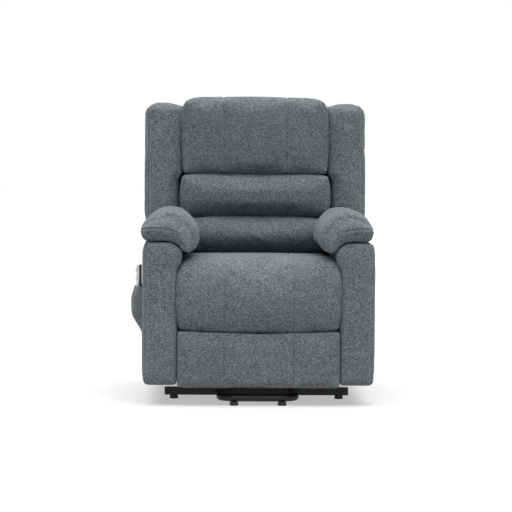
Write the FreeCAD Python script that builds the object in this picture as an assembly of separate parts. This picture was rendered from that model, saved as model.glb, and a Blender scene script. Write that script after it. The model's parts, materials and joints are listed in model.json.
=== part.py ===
"""Power lift recliner chair, built as separate pieces in millimetres.

The chair faces -Y and +Z is up. Left and right are the sitter's own, so right is -X.
The origin is on the floor, under the middle of the whole chair. The pieces are first
laid out about the seat's middle plane, and each one is moved to the origin when it is saved.
"""
import FreeCAD, Part
import math
import os
from FreeCAD import Vector

os.makedirs("parts", exist_ok=True)

# Place of the layout's middle plane and depth zero in the saved frame
LAYOUT_SHIFT = Vector(25, -7, 0)

# Overall sizes
ARM_OUTER = 388
ARM_INNER = 276
ARM_FRONT = -425
ARM_REAR = 399
ARM_BOTTOM = 68
ARM_TOP = 550
COVER_WALL = 12
ARM_BOARD = 20
SEAT_HALF = 275
SEAT_TOP = 487
SEAT_FRONT = -445
SEAT_REAR = 130
SEAT_RAIL_TOP = 341
SPRING_WIRE = 3.6
ROLL_BOTTOM = 252
LEGREST_HALF = 274
LEGREST_BOTTOM = 60
LEGREST_TOP = 246
LEGREST_FRONT = -430
LEGREST_BACK = -398
WING_INNER = 272
WING_OUTER = 390
WING_TOP = 1022
HEAD_TOP = 1050

# Back hinge, and the arcs about it that keep arm, wing and rear cover apart
BACK_PIVOT = (250, 430)
BACK_PIN = 6
BACK_BRACKET_X = (250, 254)
ARM_ARC = 160
WING_ARC = 172
REAR_COVER_ARC = 190
REAR_COVER_WALL = 14

# Base tubes
TUBE = 26
TUBE_WALL = 2
GLIDE_HEIGHT = 13
GLIDE_RADIUS = 14.5
RAIL_TOP = GLIDE_HEIGHT + TUBE
FRONT_RAIL_Y = -171
FRONT_RAIL_HALF = 317
REAR_RAIL_Y = 300
SIDE_RAIL_X = 215
SUPPLY_X = (-42, 96)
SUPPLY_DEPTH = 64
SUPPLY_HEIGHT = 29
SUPPLY_INLET_X = (20, 48)
LOOP_HALF = 127
LOOP_FOOT_X = 81
LOOP_FRONT_Y = -388
LOOP_CORNER = 50
LOOP_RADIUS = 12.5

# Lift linkage pivots as (y, z)
LIFT_BASE = (-85, 70)
LIFT_CHAIR = (260, 112)
STAY_BASE = (-150.5, 50.1)
STAY_CHAIR = (126, 80)
PIN = 5
RUNNING_FIT = 0.05
OPEN_PIVOT_RADIUS = 7.2
LIFT_ARM_X = (197, 203)
LIFT_PLATE_X = (205, 211)
STAY_X = (213, 219)
LIFT_TUBE_RADIUS = 15

# Lift actuator: hinged at the rear rail, its rod pushes a lug on the lift cross tube
LIFT_MOTOR_PIVOT = (300, 100)
LIFT_LUG_REACH = 95
LIFT_LUG_ANGLE = 61
LIFT_ARC_RISE = 12.5
SLOT_PLAY = 2.3
ACTUATOR_EYE_HALF = 12
CHEEK = 6

# Recline actuator: hinged under the seat, its rod pulls a lug on the back
RECLINE_X = -100
RECLINE_MOTOR_PIVOT = (-125, 285)
RECLINE_LUG_REACH = 112
RECLINE_RANGE = 45
RECLINE_ARC_DROP = -10

# Chair cross tubes as (y, z)
FRONT_CROSS_TUBE = (-150, 300)
REAR_CROSS_TUBE = (200, 270)
CROSS_TUBE_RADIUS = 15
SIDE_PLATE_X = (256, 260)

# Legrest linkage pivots as (y, z), drawn with the legrest shut
CRANK_PIVOT = (-231, 227.5)
CRANK_LENGTH = 176
CRANK_ANGLE = 53
LEGREST_PIVOT = (-385, 188)
GUIDE_SIDE = (-268.7, 214.8)
GUIDE_LINK = (-166, 64)
UPPER_CRANK = (-126.5, 108.1)
UPPER_LEGREST = (-379, 215)
CRANK_X = (250, 254)
LONG_LINK_X = (244, 248)
UPPER_LINK_X = (256, 260)
GUIDE_LINK_X = (262, 266)
LINK_HALF = 9
RIVET = 4
OPEN_RIVET_HOLE = 6.4

# Side pocket and handset on the sitter's right arm
POCKET_OUTER = -437
POCKET_MOUTH = 395
POCKET_BOTTOM = 221
POCKET_Y = (-300, -120)
POCKET_WALL = 4
HANDSET_X = (-415, -397)
HANDSET_FRONT_SHELL = 11
HANDSET_Y = (-258, -204)
HANDSET_Z = (300, 465)
BUTTON_RADIUS = 7
BUTTON_PROUD = 2

SIDES = (("left", 1), ("right", -1))


def box(x, y, z):
    """Solid box between three (low, high) pairs."""
    size = (x[1] - x[0], y[1] - y[0], z[1] - z[0])
    return Part.makeBox(*size, Vector(x[0], y[0], z[0]))


def soft_box(x, y, z, radius):
    """Box with every edge rounded."""
    solid = box(x, y, z)
    return solid.makeFillet(radius, solid.Edges)


def prism(x, start, steps):
    """Side outline in (y, z) run from x[0] to x[1]. A step is a point, or an arc's middle and end."""
    def at(point):
        return Vector(x[0], point[0], point[1])
    edges = []
    last = start
    for step in steps + [start]:
        if isinstance(step[0], tuple):
            edges.append(Part.Arc(at(last), at(step[0]), at(step[1])).toShape())
            last = step[1]
        else:
            edges.append(Part.LineSegment(at(last), at(step)).toShape())
            last = step
    return Part.Face(Part.Wire(edges)).extrude(Vector(x[1] - x[0], 0, 0))


def rod_x(point, radius, x):
    """Round bar along X through (y, z)."""
    return Part.makeCylinder(radius, x[1] - x[0], Vector(x[0], *point), Vector(1, 0, 0))


def polar(centre, radius, degrees):
    """Point at an angle from +Y towards +Z."""
    turn = math.radians(degrees)
    return (centre[0] + radius * math.cos(turn), centre[1] + radius * math.sin(turn))


def capsule(p, q, half, x):
    """Flat bar with round ends from p to q."""
    run = Vector(0, q[0] - p[0], q[1] - p[1])
    bar = rod_x(p, half, x).fuse(rod_x(q, half, x))
    if run.Length > 0.01:
        across = Vector(0, -run.z, run.y).normalize() * half
        first = Vector(x[0], *p)
        corners = [first + across, first + run + across, first + run - across, first - across]
        face = Part.Face(Part.makePolygon(corners + corners[:1]))
        bar = bar.fuse(face.extrude(Vector(x[1] - x[0], 0, 0)))
    return bar.removeSplitter()


def link(p, q, half, x, holes):
    """Link bar with holes given as ((y, z), radius)."""
    bar = capsule(p, q, half, x)
    for point, radius in holes:
        bar = bar.cut(rod_x(point, radius, (x[0] - 1, x[1] + 1)))
    return bar


def mirrored(x, side):
    """The (low, high) pair on one side of the middle plane."""
    return x if side > 0 else (-x[1], -x[0])


def save(name, *solids):
    """Moves the solids to the saved frame and writes one file."""
    shape = solids[0] if len(solids) == 1 else Part.makeCompound(list(solids))
    moved = shape.copy()
    moved.translate(LAYOUT_SHIFT)
    moved.exportStep(f"parts/{name}.step")
    print(name, len(moved.Solids), moved.isValid(), round(moved.Volume / 1000, 1))


def rect_tube(x, y, z, axis):
    """Square steel tube, open along the axis 0, 1 or 2."""
    spans = [x, y, z]
    inner = [(low + TUBE_WALL, high - TUBE_WALL) for low, high in spans]
    inner[axis] = (spans[axis][0] - 1, spans[axis][1] + 1)
    return box(*spans).cut(box(*inner))


# ---- Base ----
def make_base():
    tube_z = (GLIDE_HEIGHT, RAIL_TOP)
    half_tube = TUBE / 2
    cap = 4
    tube_end = FRONT_RAIL_HALF - cap
    front_y = (FRONT_RAIL_Y - half_tube, FRONT_RAIL_Y + half_tube)
    rear_y = (REAR_RAIL_Y - half_tube, REAR_RAIL_Y + half_tube)
    save("base_front_rail", rect_tube((-tube_end, tube_end), front_y, tube_z, 0))
    caps = [box(mirrored((tube_end, FRONT_RAIL_HALF), side), front_y, tube_z) for _, side in SIDES]
    save("rail_end_caps", *caps)
    rear_half = SIDE_RAIL_X + half_tube
    save("base_rear_rail", rect_tube((-rear_half, rear_half), rear_y, tube_z, 0))
    side_spans = [mirrored((SIDE_RAIL_X - half_tube, SIDE_RAIL_X + half_tube), side) for _, side in SIDES]
    save("base_side_rails", *[rect_tube(x, (front_y[1], rear_y[0]), tube_z, 1) for x in side_spans])
    save("base_front_loop", front_loop(front_y[0]))
    rail_places = ((285, FRONT_RAIL_Y), (195, REAR_RAIL_Y))
    save("rail_glides", *[glide(side * x, y) for x, y in rail_places for _, side in SIDES])
    save("front_loop_glides", *[glide(side * LOOP_FOOT_X, LOOP_FRONT_Y) for _, side in SIDES])
    case_y = (front_y[1] - SUPPLY_DEPTH, front_y[1])
    case = soft_box(SUPPLY_X, case_y, (RAIL_TOP, RAIL_TOP + SUPPLY_HEIGHT), 4)
    socket = box(SUPPLY_INLET_X, (case_y[1] - 10, case_y[1] + 1), (RAIL_TOP + 6, RAIL_TOP + 23))
    save("power_supply", case.cut(socket))


def front_loop(y_back):
    """U-shaped round tube in front of the wide rail."""
    z = GLIDE_HEIGHT + LOOP_RADIUS
    bend = LOOP_CORNER * (1 - math.sqrt(0.5))
    turn_x = LOOP_HALF - LOOP_CORNER
    turn_y = LOOP_FRONT_Y + LOOP_CORNER
    path = []
    path.append(Part.LineSegment(Vector(-LOOP_HALF, y_back, z), Vector(-LOOP_HALF, turn_y, z)))
    path.append(Part.Arc(Vector(-LOOP_HALF, turn_y, z), Vector(-LOOP_HALF + bend, LOOP_FRONT_Y + bend, z),
                         Vector(-turn_x, LOOP_FRONT_Y, z)))
    path.append(Part.LineSegment(Vector(-turn_x, LOOP_FRONT_Y, z), Vector(turn_x, LOOP_FRONT_Y, z)))
    path.append(Part.Arc(Vector(turn_x, LOOP_FRONT_Y, z), Vector(LOOP_HALF - bend, LOOP_FRONT_Y + bend, z),
                         Vector(LOOP_HALF, turn_y, z)))
    path.append(Part.LineSegment(Vector(LOOP_HALF, turn_y, z), Vector(LOOP_HALF, y_back, z)))
    wire = Part.Wire([piece.toShape() for piece in path])
    ring = Part.Wire(Part.makeCircle(LOOP_RADIUS, Vector(-LOOP_HALF, y_back, z), Vector(0, -1, 0)))
    return wire.makePipeShell([ring], True, False)


def glide(x, y):
    """Round foot, a little narrower where it meets the tube."""
    stem = Part.makeCylinder(GLIDE_RADIUS * 0.8, GLIDE_HEIGHT, Vector(x, y, 0))
    sole = Part.makeCylinder(GLIDE_RADIUS, GLIDE_HEIGHT * 0.8, Vector(x, y, 0))
    return sole.fuse(stem).removeSplitter()


# ---- Lift linkage ----
def lift_lug():
    """Where the lift rod pushes the cross tube."""
    return polar(LIFT_BASE, LIFT_LUG_REACH, LIFT_LUG_ANGLE)


def make_lift():
    lug = lift_lug()
    plates = []
    hangers = []
    arms = []
    stays = []
    for _, side in SIDES:
        plate_x = mirrored(LIFT_PLATE_X, side)
        arm_x = mirrored(LIFT_ARM_X, side)
        stay_x = mirrored(STAY_X, side)
        plate = prism(plate_x, (-172, RAIL_TOP), [(-60, RAIL_TOP), (-66, 88), (-104, 88), (-166, 66)])
        hanger_front = [(184, 287), (178, 256), (106, 100)]
        hanger = prism(plate_x, (106, 66), [(276, 92), (280, 132), (222, 262), (214, 287)] + hanger_front)
        hanger = hanger.cut(rod_x(REAR_CROSS_TUBE, CROSS_TUBE_RADIUS, plate_x))
        inner = mirrored((LIFT_ARM_X[0] - 2, LIFT_PLATE_X[1]), side)
        outer = mirrored((LIFT_PLATE_X[0], STAY_X[1] + 2), side)
        pins = [rod_x(LIFT_BASE, PIN, inner), rod_x(STAY_BASE, PIN, outer)]
        plates.append(plate.fuse(pins).removeSplitter())
        hanger_pins = [rod_x(LIFT_CHAIR, PIN, inner), rod_x(STAY_CHAIR, PIN, outer)]
        hangers.append(hanger.fuse(hanger_pins).removeSplitter())
        hole = PIN + RUNNING_FIT
        arm = link(LIFT_BASE, LIFT_CHAIR, 14, arm_x, [(LIFT_BASE, hole), (LIFT_CHAIR, hole)])
        arms.append(arm)
        stay = link(STAY_BASE, STAY_CHAIR, 10, stay_x, [(STAY_BASE, hole)])
        stay = stay.fuse(rod_x(STAY_CHAIR, 13, stay_x)).cut(rod_x(STAY_CHAIR, OPEN_PIVOT_RADIUS, stay_x))
        stays.append(stay.removeSplitter())
    save("lift_base_brackets", *plates)
    save("lift_hangers", *hangers)
    save("lift_arms", *arms)
    save("lift_stays", *stays)
    tube_x = (-LIFT_ARM_X[0], LIFT_ARM_X[0])
    outside = rod_x(LIFT_BASE, LIFT_TUBE_RADIUS, tube_x)
    save("lift_cross_tube", outside.cut(rod_x(LIFT_BASE, LIFT_TUBE_RADIUS - TUBE_WALL, tube_x)))
    lugs = [cheek.cut(outside) for cheek in clevis(0, lug, LIFT_BASE)]
    save("lift_lugs", pinned(lugs, 0, lug))


# ---- Linear actuators ----
def recline_lug():
    """Where the recline rod pulls the back, as far behind the hinge shut as before it open."""
    return polar(BACK_PIVOT, RECLINE_LUG_REACH, RECLINE_RANGE / 2 - 90)


def placed(shape, start, end, x):
    """Turns a shape drawn along +Y from the origin so that it runs from start to end."""
    turned = shape.copy()
    angle = math.degrees(math.atan2(end[1] - start[1], end[0] - start[0]))
    turned.rotate(Vector(0, 0, 0), Vector(1, 0, 0), angle)
    turned.translate(Vector(x, *start))
    return turned


def make_actuator(name, start, end, x, motor_side, tube_end, rod_inner, slot_rise):
    """Gear housing with its cross motor, outer tube, and rod with a slotted end."""
    reach = math.dist(start, end)
    eye_half = ACTUATOR_EYE_HALF
    housing = soft_box((-30, 30), (16, 96), (-33, 33), 6)
    motor_x = mirrored((20, 94), motor_side)
    motor = rod_x((56, 0), 27, motor_x)
    neck = box((-eye_half, eye_half), (0, 30), (-13, 13))
    eye = rod_x((0, 0), 13, (-eye_half, eye_half))
    body = housing.fuse([motor, neck, eye]).cut(rod_x((0, 0), PIN + RUNNING_FIT, (-20, 20)))
    save(f"{name}_motor", placed(body.removeSplitter(), start, end, x))
    along = Vector(0, 1, 0)
    tube = Part.makeCylinder(17, tube_end - 96, Vector(0, 96, 0), along)
    tube = tube.cut(Part.makeCylinder(10.4, tube_end, Vector(0, 90, 0), along))
    save(f"{name}_tube", placed(tube, start, end, x))
    rod = Part.makeCylinder(10, reach - 6 - rod_inner, Vector(0, rod_inner, 0), along)
    rod = placed(rod, start, end, x)
    up = Vector(0, -(end[1] - start[1]), end[0] - start[0]).normalize()
    if up.z < 0:
        up = up * -1
    low = min(-1, slot_rise)
    high = max(1, slot_rise)
    ends = [(end[0] + up.y * rise, end[1] + up.z * rise) for rise in (low, high)]
    rod_end = capsule(*ends, PIN + SLOT_PLAY + 6.5, (x - eye_half, x + eye_half))
    slot = capsule(*ends, PIN + SLOT_PLAY, (x - 20, x + 20))
    save(f"{name}_rod", rod.fuse(rod_end).cut(slot).removeSplitter())


def make_actuators():
    make_actuator("lift_actuator", LIFT_MOTOR_PIVOT, lift_lug(), 0, 1, 235, 110, LIFT_ARC_RISE)
    make_actuator("recline_actuator", RECLINE_MOTOR_PIVOT, recline_lug(), RECLINE_X, -1, 220, 195, RECLINE_ARC_DROP)
    cheeks = clevis(0, LIFT_MOTOR_PIVOT, (LIFT_MOTOR_PIVOT[0], RAIL_TOP + 13))
    clip = box((-25, 25), (280, 320), (0, RAIL_TOP))
    save("lift_motor_bracket", pinned([cheek.cut(clip) for cheek in cheeks], 0, LIFT_MOTOR_PIVOT))


def clevis(x, pivot, root):
    """Two cheeks from a pivot to a root point."""
    cheeks = []
    for _, side in SIDES:
        low, high = mirrored((ACTUATOR_EYE_HALF + 1, ACTUATOR_EYE_HALF + 1 + CHEEK), side)
        span = (x + low, x + high)
        cheeks.append(capsule(pivot, root, 13, span))
    return cheeks


def pinned(cheeks, x, pivot):
    """Two cheeks joined by the pin riveted across them."""
    pin_half = ACTUATOR_EYE_HALF + 1 + CHEEK
    return rod_x(pivot, PIN, (x - pin_half, x + pin_half)).fuse(cheeks).removeSplitter()


# ---- Seat box ----
def make_seat_box():
    plates = []
    pins = []
    pivots = ((CRANK_PIVOT, RIVET), (GUIDE_SIDE, RIVET), (BACK_PIVOT, BACK_PIN))
    for _, side in SIDES:
        x = mirrored(SIDE_PLATE_X, side)
        corners = [(-200, 204), (-190, 240), (120, 240), (222, 246), (240, 262), (276, 262), (276, 430)]
        corners += [(224, 430), (224, 345), (210, 341), (-296, 341)]
        plate = prism(x, (-296, 204), corners)
        plate = plate.fuse(rod_x(BACK_PIVOT, 26, x))
        for point, radius in pivots:
            plate = plate.cut(rod_x(point, radius, x))
        pins.append(rod_x(CRANK_PIVOT, RIVET, mirrored((CRANK_X[0], SIDE_PLATE_X[1]), side)))
        pins.append(rod_x(GUIDE_SIDE, RIVET, mirrored((SIDE_PLATE_X[0], GUIDE_LINK_X[1] + 1), side)))
        pins.append(rod_x(BACK_PIVOT, BACK_PIN, mirrored((BACK_BRACKET_X[0] - 2, SIDE_PLATE_X[1]), side)))
        plates.append(plate.removeSplitter())
    save("side_plates", *plates)
    save("side_plate_pins", *pins)
    end = SIDE_PLATE_X[0]
    front_tube = rod_x(FRONT_CROSS_TUBE, CROSS_TUBE_RADIUS, (-end, end))
    rear_tube = rod_x(REAR_CROSS_TUBE, CROSS_TUBE_RADIUS, (-end, end))
    save("cross_tubes", front_tube, rear_tube)
    lugs = [cheek.cut(front_tube) for cheek in clevis(RECLINE_X, RECLINE_MOTOR_PIVOT, FRONT_CROSS_TUBE)]
    save("recline_motor_bracket", pinned(lugs, RECLINE_X, RECLINE_MOTOR_PIVOT))
    front_rail = box((-end, end), (-320, -298), (293, SEAT_RAIL_TOP))
    rear_rail = box((-end, end), (100, 122), (293, SEAT_RAIL_TOP))
    rod_hole = Part.makeCylinder(17, 30, Vector(RECLINE_X, 96, 311), Vector(0, 1, 0))
    save("seat_rails", front_rail, rear_rail.cut(rod_hole))
    save("seat_springs", *[seat_spring(x) for x in (-190, -95, 0, 95, 190)])
    case = soft_box((60, 190), (-135, -60), (272, 330), 4)
    socket = box((80, 110), (-68, -58), (290, 310))
    save("control_box", case.cut(socket))
    spacers = []
    for _, side in SIDES:
        x = mirrored((SIDE_PLATE_X[1], ARM_INNER), side)
        spacers += [box(x, (-120, -60), (250, 330)), box(x, (130, 190), (250, 330))]
    save("arm_spacers", *spacers)


def seat_spring(x):
    """Flat zigzag wire spring from the front rail to the rear rail."""
    z = SEAT_RAIL_TOP + SPRING_WIRE / 2
    waves = 14
    y_start = -318
    step = (SEAT_REAR - 12 - y_start) / waves
    points = [Vector(x + 22 * (-1) ** i, y_start + step * (i + 0.5), z) for i in range(waves)]
    wire = Part.makePolygon(points)
    first = points[1] - points[0]
    ring = Part.Wire(Part.makeCircle(SPRING_WIRE / 2, points[0], first))
    return wire.makePipeShell([ring], True, False, 1)


def make_seat_cushion():
    rest = SEAT_RAIL_TOP + SPRING_WIRE
    roll_back = -335
    start = (SEAT_REAR, rest)
    steps = [(roll_back, rest), (roll_back, 268), (((-368, 255), (-402, ROLL_BOTTOM))),
             ((-436, 276), (SEAT_FRONT, 325)), ((-440, 420), (-405, 466)), ((-372, 484), (-330, SEAT_TOP)),
             (SEAT_REAR, SEAT_TOP)]
    save("seat_cushion", prism((-SEAT_HALF, SEAT_HALF), start, steps))


# ---- Arms ----
def arm_outline(inset):
    """Side outline of an arm: its rear top follows an arc about the back hinge."""
    radius = ARM_ARC - inset
    top = ARM_TOP - inset
    rear = ARM_REAR - inset
    meet_y = BACK_PIVOT[0] - math.sqrt(radius ** 2 - (top - BACK_PIVOT[1]) ** 2)
    meet_z = BACK_PIVOT[1] - math.sqrt(radius ** 2 - (rear - BACK_PIVOT[0]) ** 2)
    middle = polar(BACK_PIVOT, radius, 55)
    front = ARM_FRONT + inset
    low = ARM_BOTTOM + inset
    return (front, low), [(front, top), (meet_y, top), (middle, (rear, meet_z)), (rear, low)]


def make_arms():
    frames = []
    for name, side in SIDES:
        outer_x = mirrored((ARM_INNER, ARM_OUTER), side)
        cavity_x = mirrored((ARM_INNER + COVER_WALL, ARM_OUTER - COVER_WALL), side)
        cavity = prism(cavity_x, *arm_outline(COVER_WALL))
        save(f"arm_cover_{name}", prism(outer_x, *arm_outline(0)).cut(cavity))
        frames.append(cavity.cut(prism(cavity_x, *arm_outline(COVER_WALL + ARM_BOARD))))
        save(f"arm_pad_{name}", arm_pad(side))
    save("arm_frames", *frames)


def arm_pad(side):
    """Pillow on the arm that droops on its inner side."""
    rest = ARM_TOP + 1
    front = -440
    rear = 136
    def at(x, z):
        return Vector(side * x, front, z)
    edges = []
    edges.append(Part.LineSegment(at(386, rest), at(274, rest)).toShape())
    edges.append(Part.Arc(at(274, rest), at(258, 520), at(232, 512)).toShape())
    edges.append(Part.Arc(at(232, 512), at(201, 556), at(225, 622)).toShape())
    edges.append(Part.Arc(at(225, 622), at(290, 660), at(360, 636)).toShape())
    edges.append(Part.Arc(at(360, 636), at(394, 596), at(386, rest)).toShape())
    pad = Part.Face(Part.Wire(edges)).extrude(Vector(0, rear - front, 0))
    beside_back = box(mirrored((190, ARM_INNER - 3), side), (98, rear + 1), (500, 670))
    return pad.cut(beside_back)


def make_pocket_and_handset():
    low, high = POCKET_Y
    outside = -ARM_OUTER - 1
    z_belly = 330
    outline = ((outside, POCKET_BOTTOM + 10), (POCKET_OUTER, z_belly), (-431, POCKET_MOUTH))
    save("side_pocket", pouch(outline, (low, high), 0).cut(pouch(outline, (low, high), POCKET_WALL)))
    split = HANDSET_X[0] + HANDSET_FRONT_SHELL
    save("handset_front", soft_box((HANDSET_X[0], split), HANDSET_Y, HANDSET_Z, 3).cut(button_wells()))
    save("handset_back", soft_box((split, HANDSET_X[1]), HANDSET_Y, HANDSET_Z, 3))
    for name, y, z in handset_buttons():
        tip = Vector(HANDSET_X[0] - BUTTON_PROUD, y, z)
        cap = Part.makeCylinder(BUTTON_RADIUS, BUTTON_PROUD + 3, tip, Vector(1, 0, 0))
        save(f"button_{name}", cap)


def handset_buttons():
    """Two rows of two: the lift above, the back below."""
    middle = sum(HANDSET_Y) / 2
    upper_row = (("lift_up", -12, 446), ("lift_down", 12, 446))
    lower_row = (("recline_out", -12, 420), ("recline_in", 12, 420))
    return [(name, middle + offset, z) for name, offset, z in upper_row + lower_row]


def button_wells():
    wells = []
    for _, y, z in handset_buttons():
        mouth = Vector(HANDSET_X[0] - 1, y, z)
        wells.append(Part.makeCylinder(BUTTON_RADIUS + 0.4, 7, mouth, Vector(1, 0, 0)))
    return Part.makeCompound(wells)


def pouch(outline, y, wall):
    """Bulging pouch against the arm, or its hollow when a wall is given."""
    bottom, belly, mouth = outline
    inner_x = bottom[0] - wall
    lip = mouth[1] + (1 if wall else 0)
    def at(x, z):
        return Vector(x, y[0] + wall, z)
    start = at(inner_x, bottom[1] - 10 + 2.5 * wall)
    edges = []
    edges.append(Part.Arc(start, at(belly[0] + 18 + wall, 262), at(belly[0] + wall, belly[1])).toShape())
    edges.append(Part.LineSegment(at(belly[0] + wall, belly[1]), at(mouth[0] + wall, lip)).toShape())
    edges.append(Part.LineSegment(at(mouth[0] + wall, lip), at(inner_x, lip)).toShape())
    edges.append(Part.LineSegment(at(inner_x, lip), start).toShape())
    return Part.Face(Part.Wire(edges)).extrude(Vector(0, y[1] - y[0] - 2 * wall, 0))


# ---- Back ----
def make_back():
    windows_high = [box((-230, 230), (290, 340), (560 + i * 150, 670 + i * 150)) for i in range(3)]
    upper = box((-WING_INNER, WING_INNER), (300, 335), (520, 1010)).cut(windows_high)
    lower = box((-250, 250), (300, 335), (345, 520)).cut(box((-210, 210), (290, 340), (385, 500)))
    save("back_frame", upper.fuse(lower).removeSplitter())
    save("head_cushion", soft_box((-260, 260), (148, 300), (772, HEAD_TOP), 30))
    save("middle_cushion", soft_box((-268, 268), (126, 300), (618, 766), 24))
    save("lumbar_cushion", soft_box((-268, 268), (108, 300), (494, 612), 20))
    save("back_rear_cover", rear_cover())
    brackets = []
    for name, side in SIDES:
        save(f"wing_{name}", wing(mirrored((WING_INNER, WING_OUTER), side)))
        x = mirrored(BACK_BRACKET_X, side)
        outline = [(240, 402), (318, 360), (334, 360), (334, 515), (304, 515), (304, 478), (226, 452)]
        bracket = prism(x, (226, 408), outline)
        brackets.append(bracket.cut(rod_x(BACK_PIVOT, BACK_PIN + RUNNING_FIT, x)))
    save("back_brackets", *brackets)
    lower_rail = box((-200, 0), (300, 335), (345, 400))
    lug = recline_lug()
    lugs = [cheek.cut(lower_rail) for cheek in clevis(RECLINE_X, lug, (318, 356))]
    save("recline_lugs", pinned(lugs, RECLINE_X, lug))
    panel = box((-ARM_INNER, ARM_INNER), (385, ARM_REAR), (ARM_BOTTOM, 288))
    save("lower_rear_panel", panel)


def wing(x):
    """Side wing whose lower edge clears the arm's arc."""
    front_low = polar(BACK_PIVOT, WING_ARC, 125.5)
    rear_low = polar(BACK_PIVOT, WING_ARC, 24)
    steps = [(polar(BACK_PIVOT, WING_ARC, 75), rear_low), (442, 520), (452, 990),
             ((444, 1013), (424, WING_TOP)), (212, WING_TOP), ((192, 1014), (184, 994))]
    return prism(x, front_low, steps)


def rear_cover():
    """Shell behind the back that rolls under it about the hinge."""
    half = WING_INNER - 1
    wall = REAR_COVER_WALL
    outer = REAR_COVER_ARC
    inner = REAR_COVER_ARC - wall
    end_angle = -45
    start = (302, 1034)
    steps = [(420, 1034), ((445, 1024), (455, 1000)), (BACK_PIVOT[0] + outer, BACK_PIVOT[1]),
             (polar(BACK_PIVOT, outer, end_angle / 2), polar(BACK_PIVOT, outer, end_angle)),
             polar(BACK_PIVOT, inner, end_angle),
             (polar(BACK_PIVOT, inner, end_angle / 2), (BACK_PIVOT[0] + inner, BACK_PIVOT[1])),
             (455 - wall, 1000), ((435, 1014), (420, 1034 - wall)), (302, 1034 - wall)]
    return prism((-half, half), start, steps)


# ---- Legrest ----
def make_legrest():
    board = box((-255, 255), (-408, LEGREST_BACK), (72, 236))
    pad = soft_box((-LEGREST_HALF, LEGREST_HALF), (LEGREST_FRONT, LEGREST_BACK), (LEGREST_BOTTOM, LEGREST_TOP), 9)
    save("legrest_pad", pad.cut(board))
    save("legrest_board", board)
    crank_end = polar(CRANK_PIVOT, CRANK_LENGTH, -CRANK_ANGLE)
    hole = RIVET + RUNNING_FIT
    groups = {"cranks": [], "long_links": [], "upper_links": [], "guide_links": [], "brackets": []}
    for _, side in SIDES:
        def stud(point, low, high):
            return rod_x(point, RIVET, mirrored((low, high), side))
        crank_x = mirrored(CRANK_X, side)
        long_x = mirrored(LONG_LINK_X, side)
        crank = link(CRANK_PIVOT, crank_end, 11, crank_x, [(CRANK_PIVOT, hole)])
        crank_studs = [stud(crank_end, LONG_LINK_X[0], CRANK_X[1])]
        crank_studs.append(stud(UPPER_CRANK, CRANK_X[0], UPPER_LINK_X[1]))
        groups["cranks"].append(crank.fuse(crank_studs).removeSplitter())
        long_link = capsule(crank_end, LEGREST_PIVOT, LINK_HALF, long_x)
        long_link = long_link.fuse(capsule(crank_end, GUIDE_LINK, LINK_HALF, long_x))
        for point in (crank_end, LEGREST_PIVOT):
            long_link = long_link.cut(rod_x(point, hole, long_x))
        long_link = long_link.fuse(stud(GUIDE_LINK, LONG_LINK_X[0], GUIDE_LINK_X[1] + 1))
        groups["long_links"].append(long_link.removeSplitter())
        upper_holes = [(UPPER_CRANK, hole), (UPPER_LEGREST, OPEN_RIVET_HOLE)]
        upper_x = mirrored(UPPER_LINK_X, side)
        groups["upper_links"].append(link(UPPER_CRANK, UPPER_LEGREST, LINK_HALF, upper_x, upper_holes))
        guide_holes = [(GUIDE_SIDE, hole), (GUIDE_LINK, OPEN_RIVET_HOLE)]
        guide_x = mirrored(GUIDE_LINK_X, side)
        groups["guide_links"].append(link(GUIDE_SIDE, GUIDE_LINK, LINK_HALF, guide_x, guide_holes))
        corners = [(-374, 176), (-366, 196), (-366, 226), (-374, 234), (LEGREST_BACK, 234)]
        bracket = prism(crank_x, (LEGREST_BACK, 168), corners)
        flange = box(mirrored((228, CRANK_X[1]), side), (LEGREST_BACK, LEGREST_BACK + 3), (168, 234))
        bracket_studs = [stud(LEGREST_PIVOT, LONG_LINK_X[0], CRANK_X[1])]
        bracket_studs.append(stud(UPPER_LEGREST, CRANK_X[0], UPPER_LINK_X[1]))
        groups["brackets"].append(bracket.fuse([flange] + bracket_studs).removeSplitter())
    for name, solids in groups.items():
        save(f"legrest_{name}", *solids)
    tube_x = (-CRANK_X[0], CRANK_X[0])
    tube = rod_x(CRANK_PIVOT, 11, tube_x).cut(rod_x(CRANK_PIVOT, 11 - TUBE_WALL, tube_x))
    save("legrest_torque_tube", tube)


make_base()
make_lift()
make_actuators()
make_seat_box()
make_seat_cushion()
make_arms()
make_pocket_and_handset()
make_back()
make_legrest()
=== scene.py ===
"""Looks of the lift recliner chair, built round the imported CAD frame. Metres, chair faces -Y, +Z up."""
import json
import math

import bmesh
import bpy
from mathutils import Matrix, Vector
from mathutils.bvhtree import BVHTree


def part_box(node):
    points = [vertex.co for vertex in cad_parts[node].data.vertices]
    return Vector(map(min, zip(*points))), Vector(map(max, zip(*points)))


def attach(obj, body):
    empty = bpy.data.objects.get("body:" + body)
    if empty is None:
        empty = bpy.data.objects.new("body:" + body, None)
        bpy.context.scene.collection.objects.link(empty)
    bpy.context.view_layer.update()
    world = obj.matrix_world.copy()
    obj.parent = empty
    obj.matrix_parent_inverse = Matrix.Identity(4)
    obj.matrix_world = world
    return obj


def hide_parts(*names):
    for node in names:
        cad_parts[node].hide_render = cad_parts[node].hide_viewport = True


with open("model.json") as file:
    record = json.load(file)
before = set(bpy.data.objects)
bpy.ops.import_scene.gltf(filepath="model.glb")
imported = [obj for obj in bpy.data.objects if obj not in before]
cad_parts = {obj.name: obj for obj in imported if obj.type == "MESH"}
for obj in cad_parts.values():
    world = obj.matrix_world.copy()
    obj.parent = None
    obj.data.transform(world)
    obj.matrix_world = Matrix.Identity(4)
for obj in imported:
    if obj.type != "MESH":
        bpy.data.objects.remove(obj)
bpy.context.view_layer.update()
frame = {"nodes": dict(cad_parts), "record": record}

SCENE = bpy.context.scene
MM = 0.001
SIDES = (("left", 1), ("right", -1))

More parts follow.
